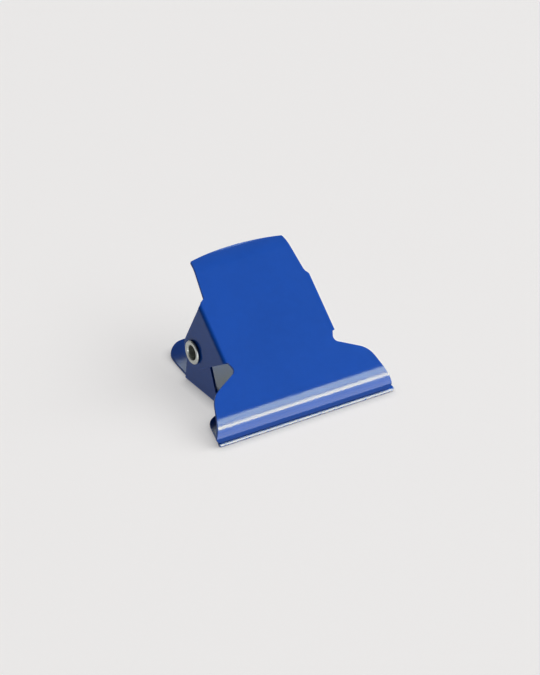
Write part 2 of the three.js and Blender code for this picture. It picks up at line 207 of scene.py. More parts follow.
# Sizes of the lower plate that differ from the upper plate's
LOWER_PLATE = {
    "pin_depth": 8.7,
    "corner_y": 15.65,
    "corner_radius": 3.9,
    "crown_rise": 0.3,
    "curl_start": 12.5,
    "curl_ease": math.radians(7.0),
    "ear_front": -7.7,
    "ear_back": 4.7,
    "lip_end_y": -19.76,
    "lip_radius": 4.0,
    "lip_angle": math.radians(62.0),
    "ease_radius": 1.2,
    "ease_angle": math.radians(57.0),
    "lip_corner": 0.4,
    "lip_inward": False,
}


class RivetSettings(PropertyGroup):
    """Sizes of the hollow rivet."""

    bore: FloatProperty(name="Bore radius", description="Inside of the tube", default=1.4)
    wall: FloatProperty(name="Wall", description="Thickness of the tube", default=0.35)
    rim: FloatProperty(name="Rim radius", description="Outside of the rolled rim", default=2.38)
    rim_thickness: FloatProperty(name="Rim thickness", description="Height of the rolled rim", default=0.4)
    rim_gap: FloatProperty(name="Rim gap", description="Rim to ear", default=0.2)
    segments: IntProperty(name="Segments", description="Faces round the rivet", default=72)


class SpringSettings(PropertyGroup):
    """Sizes of the torsion spring."""

    wire: FloatProperty(name="Wire", description="Wire diameter", default=1.2)
    radius: FloatProperty(name="Coil radius", description="To the middle of the wire", default=2.9)
    pitch: FloatProperty(name="Pitch", description="Wire to wire along the coil", default=1.75)
    turns: IntProperty(name="Full turns", description="Whole turns beside the part turn", default=7)
    reach: FloatProperty(name="Leg reach", description="Foot of a leg along its plate", default=11.0)
    plate_gap: FloatProperty(name="Plate gap", description="Foot of a leg to its plate", default=0.3)
    sides: IntProperty(name="Wire sides", description="Faces round the wire", default=14)


class FinishSettings(PropertyGroup):
    """Colours of the finishes."""

    enamel: FloatVectorProperty(
        name="Enamel", description="Blue enamel", subtype="COLOR", default=(0.0105, 0.086, 0.368)
    )
    zinc: FloatVectorProperty(
        name="Zinc", description="Plating on the rivet", subtype="COLOR", default=(0.62, 0.63, 0.58)
    )
    wire: FloatVectorProperty(
        name="Wire", description="Spring steel", subtype="COLOR", default=(0.36, 0.36, 0.37)
    )
    table: FloatVectorProperty(
        name="Table", description="White table", subtype="COLOR", default=(0.80, 0.79, 0.785)
    )


class Signal:
    """A node socket that takes part in sums like a number. Each operation adds a Math node."""

    def __init__(self, shader, socket):
        self.shader = shader
        self.socket = socket

    def _math(self, operation, first, second):
        return self.shader.add("ShaderNodeMath", {"operation": operation}, {0: first, 1: second}).out()

    def __add__(self, other):
        return self._math("ADD", self, other)

    def __radd__(self, other):
        return self._math("ADD", other, self)

    def __mul__(self, other):
        return self._math("MULTIPLY", self, other)

    def __rmul__(self, other):
        return self._math("MULTIPLY", other, self)


class Placed:
    """A node that has been added, whose outputs can be picked."""

    def __init__(self, shader, node):
        self.shader = shader
        self.node = node

    def out(self, key=0):
        return Signal(self.shader, self.node.outputs[key])


class Shader:
    """Adds nodes to one node tree."""

    def __init__(self, tree):
        self.tree = tree

    def add(self, kind, settings=None, inputs=None):
        """A node of that type, with its settings first and then the values or links of its sockets."""
        node = self.tree.nodes.new(kind)
        for key, value in (settings or {}).items():
            setattr(node, key, value)
        for key, value in (inputs or {}).items():
            if isinstance(value, Signal):
                self.tree.links.new(value.socket, node.inputs[key])
            else:
                node.inputs[key].default_value = value
        return Placed(self, node)

    def place(self):
        """The place on the piece that its patterns follow."""
        return self.add("ShaderNodeTexCoord").out("Object")

    def noise(self, place, scale, detail, roughness=0.5):
        """Cloudy noise, finer with a larger scale."""
        inputs = {"Vector": place, "Scale": scale, "Detail": detail, "Roughness": roughness}
        return self.add("ShaderNodeTexNoise", {}, inputs).out("Fac")

    def shades(self, factor, colour, dark, light):
        """A colour that wanders between a darker and a lighter share of itself."""
        mixed = self.add(
            "ShaderNodeMix",
            {"data_type": "RGBA"},
            {"Factor": factor, "A": colour4(colour, dark), "B": colour4(colour, light)},
        )
        return Signal(self, next(socket for socket in mixed.node.outputs if socket.type == "RGBA"))

    def bump(self, height, strength, distance):
        """The surface's normal over small bumps."""
        inputs = {"Height": height, "Strength": strength, "Distance": distance}
        return self.add("ShaderNodeBump", {}, inputs).out("Normal")

    def surface(self, inputs):
        """Ends a material in one surface shader."""
        skin = self.add("ShaderNodeBsdfPrincipled", {}, inputs).out("BSDF")
        self.add("ShaderNodeOutputMaterial", {}, {"Surface": skin})


def new_shader(name):
    """An empty material and the Shader that fills it."""
    material = bpy.data.materials.new(name)
    material.use_nodes = True
    material.node_tree.nodes.clear()
    return material, Shader(material.node_tree)


def colour4(colour, factor=1.0):
    """A colour with full alpha, made darker or lighter by a factor."""
    return (*[min(1.0, channel * factor) for channel in colour], 1.0)


def enamel_material(colour):
    """Stoved gloss enamel: deep colour, slight orange peel, specks of dust and faint smudges."""
    material, sh = new_shader("blue_enamel")
    place = sh.place()
    cloud = sh.noise(place, scale=90.0, detail=3.0)
    smudge = sh.noise(place, scale=260.0, detail=4.0, roughness=0.6)
    mottle = sh.noise(place, scale=650.0, detail=5.0)
    peel = sh.noise(place, scale=900.0, detail=2.0)
    cell = sh.add("ShaderNodeTexVoronoi", {"feature": "F1"}, {"Vector": place, "Scale": 420.0})
    dust = sh.add(
        "ShaderNodeMapRange",
        {"interpolation_type": "SMOOTHSTEP"},
        {"Value": cell.out("Distance"), "From Min": 0.0, "From Max": 0.07, "To Min": 1.0, "To Max": 0.0},
    ).out("Result")
    sh.surface({
        "Base Color": sh.shades(cloud * 0.6 + mottle * 0.4, colour, dark=0.86, light=1.14),
        "Roughness": 0.09 + smudge * 0.09,
        "IOR": 1.4,
        "Normal": sh.bump(peel + dust * 0.35, strength=0.014, distance=0.0004),
    })
    return material


def zinc_material(colour):
    """Bright zinc plate: warm grey bloom, fine grain and small dull spots."""
    material, sh = new_shader("zinc_plate")
    place = sh.place()
    bloom = sh.noise(place, scale=700.0, detail=4.0)
    grain = sh.noise(place, scale=3200.0, detail=3.0)
    sh.surface({
        "Base Color": sh.shades(bloom, colour, dark=0.8, light=1.15),
        "Roughness": 0.1 + bloom * 0.14,
        "Metallic": 1.0,
        "Normal": sh.bump(grain, strength=0.12, distance=0.0002),
    })
    return material


def wire_material(colour):
    """Drawn spring wire: fine grain and darker patches of oil temper."""
    material, sh = new_shader("spring_wire")
    place = sh.place()
    temper = sh.noise(place, scale=400.0, detail=3.0)
    drawn = sh.noise(place, scale=2600.0, detail=2.0)
    sh.surface({
        "Base Color": sh.shades(temper, colour, dark=0.75, light=1.2),
        "Roughness": 0.24 + temper * 0.18,
        "Metallic": 1.0,
        "Normal": sh.bump(drawn, strength=0.1, distance=0.0001),
    })
    return material


def table_material(colour):
    """Pale table that glows a little, with painted contact shade: its glow is dimmed close to what stands
    on it.
    """
    material, sh = new_shader("white_table")
    tooth = sh.noise(sh.place(), scale=1500.0, detail=2.0)
    # Painted contact shade: ambient occlusion darkens the table's glow within a few millimetres of the clip
    near = sh.add("ShaderNodeAmbientOcclusion", {"samples": 8}, {"Distance": CONTACT_SHADE_REACH})
    painted_contact_shade = near.out("AO")
    sh.surface({
        "Base Color": colour4(colour, 0.25),
        "Roughness": 0.8,
        "Specular IOR Level": 0.0,
        "Emission Color": sh.shades(painted_contact_shade, colour, dark=0.5, light=1.0),
        "Emission Strength": TABLE_GLOW,
        "Normal": sh.bump(tooth, strength=0.03, distance=0.0003),
    })
    return material


def glow_material(name, colour, strength):
    """Even light from a panel."""
    material, sh = new_shader(name)
    glow = sh.add("ShaderNodeEmission", {}, {"Color": colour4(colour), "Strength": strength}).out()
    sh.add("ShaderNodeOutputMaterial", {}, {"Surface": glow})
    return material


def arc(centre_x, centre_y, radius, start, end, step=9.0):
    """Points on an arc between two angles in degrees, both ends included."""
    sweep = abs(end - start)
    count = max(2, math.ceil(max(sweep / step, math.radians(sweep) * radius / LONGEST_ARC_SIDE)))
    points = []
    for i in range(count + 1):
        angle = math.radians(start + (end - start) * i / count)
        points.append((centre_x + radius * math.cos(angle), centre_y + radius * math.sin(angle)))
    return points


def rounded(before, corner, after, radius):
    """The arc that rounds one corner between its two neighbours."""
    here = Vector(corner)
    back = (Vector(before) - here).normalized()
    ahead = (Vector(after) - here).normalized()
    half = math.acos(max(-1.0, min(1.0, back.dot(ahead)))) / 2
    centre = here + (back + ahead).normalized() * (radius / math.sin(half))
    first = here + back * (radius / math.tan(half)) - centre
    last = here + ahead * (radius / math.tan(half)) - centre
    start = math.degrees(math.atan2(first.y, first.x))
    sweep = math.degrees(math.atan2(last.y, last.x)) - start
    sweep -= 360 * round(sweep / 360)
    return arc(centre.x, centre.y, radius, start, start + sweep)


class Blank:
    """The flat blank of one plate and the folds that shape it, in millimetres.

    A point (x, t) on the blank lies on the plate's outer face. Past the ear's fold x runs down
    the ear, past the lip's fold t runs down the lip, and past the curl's start along the curl.
    """

    def __init__(self, sheet, plate):
        self.sheet = sheet
        self.plate = plate
        self.bend_x = sheet.ear_x - sheet.ear_bend
        self.fold = sheet.ear_bend * QUARTER
        self.curl_begin = plate.curl_start - sheet.curl_ease_radius * math.sin(plate.curl_ease)
        self.lip_side = 1 if plate.lip_inward else -1
        skin = 0.0 if plate.lip_inward else sheet.thickness
        turn = plate.lip_angle
        ease = plate.ease_angle
        reach = plate.ease_radius * math.sin(ease) + plate.lip_radius * (math.sin(turn) - math.sin(ease))
        self.lip_start = plate.lip_end_y + reach
        self.ease_radius = plate.ease_radius - skin
        self.lip_radius = plate.lip_radius - skin
        self.ease_end = self.lip_start - self.ease_radius * ease
        self.lip_end = self.ease_end - self.lip_radius * (turn - ease)

    def curl_place(self, past, depth):
        """Place (y, drop below the outer face) of a point so far past the curl's beginning."""
        ease_radius = self.sheet.curl_ease_radius
        ease = self.plate.curl_ease
        turn = min(past / ease_radius, ease)
        on = ease_radius * math.sin(turn)
        drop = ease_radius * (1 - math.cos(turn))
        rest = past - ease_radius * ease
        if rest > 0:
            radius = self.sheet.curl_radius
            turn = ease + rest / radius
            on += radius * (math.sin(turn) - math.sin(ease))
            drop += radius * (math.cos(ease) - math.cos(turn))
        return self.curl_begin + on - depth * math.sin(turn), drop + depth * math.cos(turn)

    def lip_place(self, t, depth):
        """Place (y, height above the outer face) of a point past the lip's start."""
        ease_radius = self.ease_radius
        ease = self.plate.ease_angle
        radius = self.lip_radius
        side = self.lip_side
        if t >= self.ease_end:
            turn = (self.lip_start - t) / ease_radius
            deep = ease_radius - side * depth
            return self.lip_start - deep * math.sin(turn), side * (deep * math.cos(turn) - ease_radius)
        turn = ease + (self.ease_end - t) / radius
        deep = radius - side * depth
        centre_y = self.lip_start - (ease_radius - radius) * math.sin(ease)
        centre = (ease_radius - radius) * math.cos(ease) - ease_radius
        return centre_y - deep * math.sin(turn), side * (centre + deep * math.cos(turn))

    def down_ear(self, depth):
        """Distance along the blank from the fold's start to a depth below the outer face."""
        radius = self.sheet.ear_bend
        if depth < radius:
            return radius * math.acos(1 - depth / radius)
        return self.fold + depth - radius

    def along_handle(self, y):
        """Distance along the blank of a place on the handle, seen square on."""
        past = y - self.curl_begin
        if past <= 0:
            return y
        ease_radius = self.sheet.curl_ease_radius
        ease = self.plate.curl_ease
        if past <= ease_radius * math.sin(ease):
            return self.curl_begin + ease_radius * math.asin(past / ease_radius)
        radius = self.sheet.curl_radius
        reach = past - (ease_radius - radius) * math.sin(ease)
        return self.curl_begin + ease_radius * ease + radius * (math.asin(reach / radius) - ease)

    def handle_x(self, y):
        """Half width of the handle."""
        return self.sheet.root_x - self.sheet.taper * (y - self.sheet.root_y)

    def side_x(self, t):
        """Half width of the jaw at a place on the blank."""
        sheet = self.sheet
        y = t
        if t < self.lip_start:
            y = self.lip_place(t, 0.0)[0]
        slope = (sheet.jaw_half_width - sheet.shoulder_x) / (self.plate.lip_end_y - sheet.shoulder_y)
        return sheet.shoulder_x + slope * (y - sheet.shoulder_y)

    def handle_edge(self):
        """Edge of the handle's end from its middle, and of its right side down to the ear."""
        sheet = self.sheet
        plate = self.plate
        root_y = plate.ear_back + sheet.fillet_drop
        crown = (0.0, plate.corner_y + plate.crown_rise)
        tip = (self.handle_x(plate.corner_y), plate.corner_y)
        root = (self.handle_x(root_y), root_y)
        side = math.hypot(tip[0], plate.crown_rise) - plate.corner_radius
        crown_radius = sheet.crown_fill * side * tip[0] / plate.crown_rise
        top = rounded((-tip[0], tip[1]), crown, tip, crown_radius)
        right = [point for point in top if point[0] > 1e-6]
        right += rounded(crown, tip, root, plate.corner_radius)
        right += straight(right[-1], root, 12)
        return [(x, self.along_handle(y)) for x, y in right]

    def ear_edge(self):
        """Edge of the right ear from the handle to its front."""
        sheet = self.sheet
        plate = self.plate
        depth = plate.pin_depth
        radius = sheet.ear_radius
        lean_back = math.acos(radius / math.hypot(plate.ear_back, depth))
        lean_front = math.acos(radius / math.hypot(plate.ear_front, depth))
        back = math.degrees(math.atan2(depth, plate.ear_back) - lean_back)
        front = math.degrees(math.atan2(depth, plate.ear_front) + lean_front)
        end = [(y, depth - z) for y, z in arc(0, 0, radius, back, front - 360, 6.0)]
        corner = Vector((plate.ear_back, 0.0))
        down = corner + (Vector(end[0]) - corner).normalized() * sheet.fillet_drop
        start = corner + Vector((sheet.fillet_reach, 0.0))
        fillet_steps = 12
        whole = []
        for i in range(fillet_steps + 1):
            share = i / fillet_steps
            point = start * (1 - share) ** 2 + corner * (2 * share * (1 - share)) + down * share**2
            whole.append((point.x, point.y))
        whole += straight(tuple(down), end[0], 8)[:-1]
        whole += end
        foot = plate.ear_front
        front_steps = 16
        closeness_at_fold = 1.6
        for i in reversed(range(front_steps)):
            share = (i / front_steps) ** closeness_at_fold
            whole.append((foot + (end[-1][0] - foot) * share, end[-1][1] * share))
        return [(self.bend_x + self.down_ear(max(0.0, here)), y) for y, here in whole]

    def jaw_edge(self):
        """Edge of the right side of the jaw, from the relief notch to the middle of the lip."""
        sheet = self.sheet
        plate = self.plate
        notch_y = sheet.shoulder_y + sheet.wing_slope * (sheet.shoulder_x - sheet.notch_x)
        shift = (plate.ear_front - sheet.notch_ear) / sheet.wing_slope * NOTCH_FOLLOWS
        notch = (sheet.notch_x - shift, notch_y + shift * sheet.wing_slope)
        shoulder = (sheet.shoulder_x, sheet.shoulder_y)
        below = (self.side_x(self.lip_start), self.lip_start)
        edge = rounded((self.bend_x, plate.ear_front), notch, shoulder, sheet.notch_radius)
        edge += rounded(notch, shoulder, below, sheet.shoulder_radius)
        last = self.lip_end
        side_steps = 16
        sides = [self.lip_start + (last - self.lip_start) * i / side_steps for i in range(side_steps + 1)]
        keep = [t for t in sides if t > last + plate.lip_corner]
        edge += [(self.side_x(t), t) for t in keep]
        end = (self.side_x(last), last)
        edge += rounded((self.side_x(keep[-1]), keep[-1]), end, (0.0, last), plate.lip_corner)
        return edge

    def outline(self):
        """Closed edge of the blank, with the handle set off from the middle."""
        handle = self.handle_edge()
        rest = self.ear_edge() + self.jaw_edge()
        offset = self.sheet.offset
        crown = (offset, self.along_handle(self.crown_y()))
        right = [(x + offset, t) for x, t in handle] + rest
        left = [(offset - x, t) for x, t in handle] + [(-x, t) for x, t in rest]
        reach = rest[-1][0] - FOLD_MARGIN
        end = [(x, self.lip_end) for x in reversed(self.columns()) if abs(x) < reach]
        return dense([crown] + right + end + left[::-1], LONGEST_EDGE_SIDE)

    def crown_y(self):
        """Furthest place of the handle's end."""
        plate = self.plate
        half = self.handle_x(plate.corner_y)
        side = math.hypot(half, plate.crown_rise)
        crown_radius = self.sheet.crown_fill * (side - plate.corner_radius) * half / plate.crown_rise
        return plate.corner_y + plate.crown_rise - crown_radius * (side / half - 1)

    def holes(self):
        """The rivet's hole in each ear."""
        centre = self.bend_x + self.down_ear(self.plate.pin_depth)
        ring = arc(centre, 0, self.sheet.hole, 0, 360, 9.0)[:-1]
        return [ring, [(-x, y) for x, y in reversed(ring)]]

    def grid(self):
        """Points over the blank, in rows and columns that run along the folds."""
        columns = self.columns()
        return [(x, t) for t in self.rows() for x in columns]

    def columns(self):
        """Places across the blank, close together in the ears' folds."""
        flat = [self.bend_x * (i + 1) / (FLAT_COLUMNS + 1) for i in range(FLAT_COLUMNS)]
        fold = [self.bend_x - FOLD_MARGIN]
        fold += [self.bend_x + self.fold * i / FOLD_COLUMNS for i in range(FOLD_COLUMNS + 1)]
        past = [self.bend_x + self.fold + FOLD_MARGIN + EAR_COLUMN_GAP * i for i in range(EAR_COLUMNS)]
        right = flat + fold + past
        return [-value for value in reversed(right)] + [0.0] + right

    def rows(self):
        """Places along the blank, close together in the lip and in the curl."""
        lip = [self.lip_start + (self.lip_end - self.lip_start) * i / LIP_ROWS for i in range(LIP_ROWS)]
        flat = [self.lip_start + FOLD_MARGIN]
        while flat[-1] < self.curl_begin - FLAT_ROW_GAP:
            flat.append(flat[-1] + FLAT_ROW_GAP)
        curl = [self.curl_begin + CURL_ROW_GAP * i for i in range(CURL_ROWS)]
        return lip + flat + curl

    def fold_point(self, x, t, depth=0.0):
        """Where a point of the blank lies once it is folded, at a depth into the sheet."""
        plate = self.plate
        sheet = self.sheet
        z = plate.pin_depth
        if t < self.lip_start:
            y, height = self.lip_place(t, depth)
            return Vector((x, y, z + height))
        past_curl = t - self.curl_begin
        if past_curl > 0:
            y, drop = self.curl_place(past_curl, depth)
            return Vector((x, y, z - drop))
        past = abs(x) - self.bend_x
        relief = 0.3
        if past > 0 and t > plate.ear_front - relief:
            turn = min(past, self.fold) / sheet.ear_bend
            radius = sheet.ear_bend - depth
            side = self.bend_x + radius * math.sin(turn)
            low = z - sheet.ear_bend + radius * math.cos(turn) - max(0.0, past - self.fold)
            return Vector((math.copysign(side, x), t, low))
        return Vector((x, t, z - depth))


def straight(start, end, count):
    """Points on a straight line, its start left out."""
    points = []
    for i in range(1, count + 1):
        points.append(tuple(start[k] + (end[k] - start[k]) * i / count for k in range(2)))
    return points


def dense(loop, longest):
    """A closed loop with points added so that no side is longer than that."""
    points = []
    for i, point in enumerate(loop):
        after = loop[(i + 1) % len(loop)]
        gap = math.hypot(after[0] - point[0], after[1] - point[1])
        if gap < 1e-6:
            continue
        points.append(tuple(point))
        points += straight(point, after, math.ceil(gap / longest))[:-1]
    return points


def inside(point, loop):
    """Whether a point lies inside a closed loop."""
    x, y = point
    hit = False
    previous = loop[-1]
    for current in loop:
        if (current[1] > y) != (previous[1] > y):
            share = (y - current[1]) / (previous[1] - current[1])
            if x < current[0] + (previous[0] - current[0]) * share:
                hit = not hit
        previous = current
    return hit


def clear_of(point, loop, distance):
    """Whether a point keeps a distance from every side of a loop."""
    here = Vector(point)
    previous = Vector(loop[-1])
    for corner in loop:
        current = Vector(corner)
        side = current - previous
        share = max(0.0, min(1.0, (here - previous).dot(side) / max(side.length_squared, 1e-12)))
        if (here - previous - side * share).length < distance:
            return False
        previous = current
    return True


def mesh_object(name, mesh, material):
    """A new object in the scene for a finished mesh."""
    thing = bpy.data.objects.new(name, mesh)
    bpy.context.scene.collection.objects.link(thing)
    mesh.materials.append(material)
    return thing


def new_mesh(name, points, faces):
    """A mesh with those points and faces."""
    mesh = bpy.data.meshes.new(name)
    mesh.from_pydata([tuple(point) for point in points], [], faces)
    mesh.update()
    return mesh


def finish_shell(mesh):
    """Turns the faces of a closed mesh outwards and shades them smoothly."""
    shaper = bmesh.new()
    shaper.from_mesh(mesh)
    bmesh.ops.recalc_face_normals(shaper, faces=shaper.faces)
    shaper.to_mesh(mesh)
    shaper.free()
    for face in mesh.polygons:
        face.use_smooth = True


def outward(loop, hole):
    """For each point of a loop, the step of unit offset that leads out of the material."""
    area = sum(a[0] * b[1] - b[0] * a[1] for a, b in zip(loop, loop[1:] + loop[:1]))
    side = 1 if (area > 0) != hole else -1
    steps = []
    for i, point in enumerate(loop):
        here = Vector(point)
        before = (here - Vector(loop[i - 1])).normalized()
        after = (Vector(loop[(i + 1) % len(loop)]) - here).normalized()
        first = Vector((before.y, -before.x)) * side
        second = Vector((after.y, -after.x)) * side
        steps.append((first + second) / max(0.4, 1 + first.dot(second)))
    return steps


def edge_profile(thickness, radius):
    """The sheet's rounded edge from the outer to the inner face.

    Each row gives the inset, the depth, and how far the surface faces out sideways and upwards.
    """
    outer = []
    inner = []
    for i in range(EDGE_ROUND_STEPS + 1):
        sine = math.sin(QUARTER * i / EDGE_ROUND_STEPS)
        cosine = math.cos(QUARTER * i / EDGE_ROUND_STEPS)
        outer.append((radius * (1 - sine), radius * (1 - cosine), sine, cosine))
        inner.append((radius * (1 - cosine), thickness - radius * (1 - sine), cosine, -sine))
    return outer + inner


class PlateMesh:
    """Grows the closed mesh of one folded plate: its rounded edges first, then its two faces."""

    def __init__(self, blank, placing):
        self.blank = blank
        self.placing = placing
        self.turning = placing.to_3x3()
        self.rows = edge_profile(blank.sheet.thickness, blank.sheet.edge_round)
        self.points = []
        self.normals = []
        self.faces = []
        self.band = []

    def add(self, x, t, depth, up, sideways=0.0, out=None):
        """Adds one point of the folded sheet and its exact normal."""
        blank = self.blank
        surface = blank.fold_point(x, t)
        face = (surface - blank.fold_point(x, t, blank.sheet.thickness)).normalized()
        side = Vector((0.0, 0.0, 0.0))
        if sideways > 0:
            short = 0.01
            side = (surface - blank.fold_point(x - out.x * short, t - out.y * short)).normalized()
        self.points.append(self.placing @ blank.fold_point(x, t, depth))
        self.normals.append((self.turning @ (face * up + side * sideways)).normalized())

    def edge(self, loop, hole):
        """Adds the rounded edge along a loop, and gives the same loop on the flat of the blank."""
        radius = self.blank.sheet.edge_round
        first = len(self.band)
        count = len(loop)
        flat = []
        for (x, t), out in zip(loop, outward(loop, hole)):
            self.band.append(len(self.points))
            for inset, depth, sideways, up in self.rows:
                self.add(x - out.x * inset, t - out.y * inset, depth, up, sideways, out)
            flat.append((x - out.x * radius, t - out.y * radius))
        for i in range(count):
            here = self.band[first + i]
            after = self.band[first + (i + 1) % count]
            for k in range(len(self.rows) - 1):
                self.faces.append((here + k, after + k, after + k + 1, here + k + 1))
        return flat

    def fill(self, loops):
        """Adds the outer and the inner face within the flat loops."""
        rim, *holes = loops

        def on_sheet(place):
            return inside(place, rim) and not any(inside(place, hole) for hole in holes)

        edge_places = [place for loop in loops for place in loop]
        sides = []
        for loop in loops:
            first = len(sides)
            sides += [(first + i, first + (i + 1) % len(loop)) for i in range(len(loop))]
        grid = [
            place
            for place in self.blank.grid()
            if on_sheet(place) and all(clear_of(place, loop, EDGE_CLEARANCE) for loop in loops)
        ]
        places = [Vector(place) for place in edge_places + grid]
        places, _, triangles, sources, _, _ = delaunay_2d_cdt(places, sides, [], 1, 1e-6)
        upper = []
        lower = []
        for place, source in zip(places, sources):
            edge = next((i for i in source if i < len(edge_places)), None)
            if edge is not None:
                upper.append(self.band[edge])
                lower.append(self.band[edge] + len(self.rows) - 1)
                continue
            for face, depth, up in ((upper, 0.0, 1.0), (lower, self.blank.sheet.thickness, -1.0)):
                face.append(len(self.points))
                self.add(place.x, place.y, depth, up)
        for triangle in triangles:
            middle = sum((places[i] for i in triangle), Vector((0.0, 0.0))) / len(triangle)
            if on_sheet(middle):
                self.faces.append(tuple(upper[i] for i in triangle))
                self.faces.append(tuple(lower[i] for i in reversed(triangle)))

    def build(self, name):
        """The plate's finished mesh."""
        loops = [self.edge(self.blank.outline(), False)]
        loops += [self.edge(hole, True) for hole in self.blank.holes()]
        self.fill(loops)
        mesh = new_mesh(name, self.points, self.faces)
        finish_shell(mesh)
        mesh.normals_split_custom_set_from_vertices([tuple(normal) for normal in self.normals])
        return mesh


def dress_plate(name, node, body, blank, placing):
    """Builds one enamelled plate in place of the plain one."""
    plate = mesh_object(name, PlateMesh(blank, placing).build(name), bpy.data.materials["blue_enamel"])
    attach(plate, body)
    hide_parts(node)


class CLIP_OT_finishes(Operator):
    """Makes the enamel, zinc and spring steel finishes"""

    bl_idname = "clip.finishes"
    bl_label = "Finishes"

    def execute(self, context):
        finish = context.scene.clip_finish
        enamel_material(finish.enamel)
        zinc_material(finish.zinc)
        wire_material(finish.wire)
        return {"FINISHED"}


class CLIP_OT_upper_plate(Operator):
    """Builds the upper plate with its broad lip"""

    bl_idname = "clip.upper_plate"
    bl_label = "Upper plate"

    def execute(self, context):
        sheet = context.scene.clip_sheet
        blank = Blank(sheet, context.scene.clip_upper)
        placing = (
            hinge_frame()
            @ Matrix.Translation((-sheet.stagger / 2, 0, 0))
            @ Matrix.Rotation(sheet.closed_angle, 4, "X")
        )
        dress_plate("upper_plate_enamelled", "upper_plate", "upper", blank, placing)
        return {"FINISHED"}


class CLIP_OT_lower_plate(Operator):
    """Builds the lower plate with its turned-down lip"""

    bl_idname = "clip.lower_plate"
    bl_label = "Lower plate"

    def execute(self, context):
        sheet = context.scene.clip_sheet
        blank = Blank(sheet, context.scene.clip_lower)
        placing = (
            hinge_frame()
            @ Matrix.Translation((sheet.stagger / 2, 0, 0))
            @ Matrix.Rotation(math.pi, 4, "Y")
        )
        dress_plate("lower_plate_enamelled", "lower_plate", "lower", blank, placing)
        return {"FINISHED"}


def rivet_profile(rivet, ear_face):
    """Half of the rivet's closed section as (radius, x) points."""
    inner = ear_face + rivet.rim_gap
    end = inner + rivet.rim_thickness
    roll = rivet.rim_thickness / 2
    shank = rivet.bore + rivet.wall
    half = [(shank, inner)]
    half += arc(rivet.rim - roll, end - roll, roll, -90, 90, 15.0)
    half += arc(shank, end - rivet.wall, rivet.wall, 90, 180, 12.0)
    return half


class CLIP_OT_rivet(Operator):
    """Builds the hollow rivet with its rolled rims"""

    bl_idname = "clip.rivet"
    bl_label = "Hollow rivet"

    def execute(self, context):
        sheet = context.scene.clip_sheet
        rivet = context.scene.clip_rivet
        half = rivet_profile(rivet, sheet.ear_x + sheet.stagger / 2)
        section = half + [(radius, -x) for radius, x in reversed(half)]
        placing = hinge_frame()
        count = rivet.segments
        points = []
        for i in range(count):
            angle = 2 * math.pi * i / count
            for radius, x in section:
                points.append(placing @ Vector((x, radius * math.cos(angle), radius * math.sin(angle))))
        size = len(section)
        faces = []
        for i in range(count):
            here = i * size
            after = (i + 1) % count * size
            for k in range(size):
                up = (k + 1) % size
                faces.append((here + k, here + up, after + up, after + k))
        mesh = new_mesh("rivet_zinc", points, faces)
        finish_shell(mesh)
        thing = mesh_object("rivet_zinc", mesh, bpy.data.materials["zinc_plate"])
        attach(thing, "lower")
        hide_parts("hollow_rivet")
        return {"FINISHED"}


def tangent(y, z, radius, side):
    """Angle in degrees at which a straight from a point touches the coil."""
    return math.degrees(math.atan2(z, y) + side * math.acos(radius / math.hypot(y, z)))


def spring_path(spring, sheet, upper, lower):
    """Points along the middle of the wire: leg, coil, leg."""
    clear = sheet.thickness + spring.plate_gap + spring.wire / 2
    low = Vector((spring.reach, clear - lower.pin_depth))
    high = Vector((spring.reach, upper.pin_depth - clear))
    high.rotate(Matrix.Rotation(sheet.closed_angle, 2))
    start = tangent(low.x, low.y, spring.radius, -1)
    end = tangent(high.x, high.y, spring.radius, 1)
    while end > start:
        end -= 360
    end -= 360 * spring.turns
    length = spring.pitch * (start - end) / 360
    steps = round((start - end) / 360 * COIL_STEPS)
    points = [Vector((-length / 2, low.x, low.y))]
    for i in range(steps + 1):
        share = i / steps
        turn = math.radians(start + (end - start) * share)
        y = spring.radius * math.cos(turn)
        z = spring.radius * math.sin(turn)
        points.append(Vector((length * (share - 0.5), y, z)))
    points.append(Vector((length / 2, high.x, high.y)))
    return points


def wire_tree():
    """Geometry Nodes that draw a round wire along a path."""
    tree = bpy.data.node_groups.new("drawn_wire", "GeometryNodeTree")
    face = tree.interface
    face.new_socket("Path", in_out="INPUT", socket_type="NodeSocketGeometry")
    face.new_socket("Wire radius", in_out="INPUT", socket_type="NodeSocketFloat")
    face.new_socket("Wire sides", in_out="INPUT", socket_type="NodeSocketInt")
    face.new_socket("Finish", in_out="INPUT", socket_type="NodeSocketMaterial")
    face.new_socket("Wire", in_out="OUTPUT", socket_type="NodeSocketGeometry")
    gn = Shader(tree)
    given = gn.add("NodeGroupInput")
    ring = gn.add(
        "GeometryNodeCurvePrimitiveCircle",
        {"mode": "RADIUS"},
        {"Radius": given.out("Wire radius"), "Resolution": given.out("Wire sides")},
    )
    swept = gn.add(
        "GeometryNodeCurveToMesh",
        {},
        {"Curve": given.out("Path"), "Profile Curve": ring.out("Curve"), "Fill Caps": True},
    )
    shaded = gn.add(
        "GeometryNodeSetShadeSmooth", {}, {"Geometry": swept.out("Mesh"), "Shade Smooth": True}
    )
    real = gn.add("GeometryNodeRealizeInstances", {}, {"Geometry": shaded.out("Geometry")})
    coated = gn.add(
        "GeometryNodeSetMaterial", {}, {"Geometry": real.out("Geometry"), "Material": given.out("Finish")}
    )
    gn.add("NodeGroupOutput", {}, {"Wire": coated.out("Geometry")})
    return tree


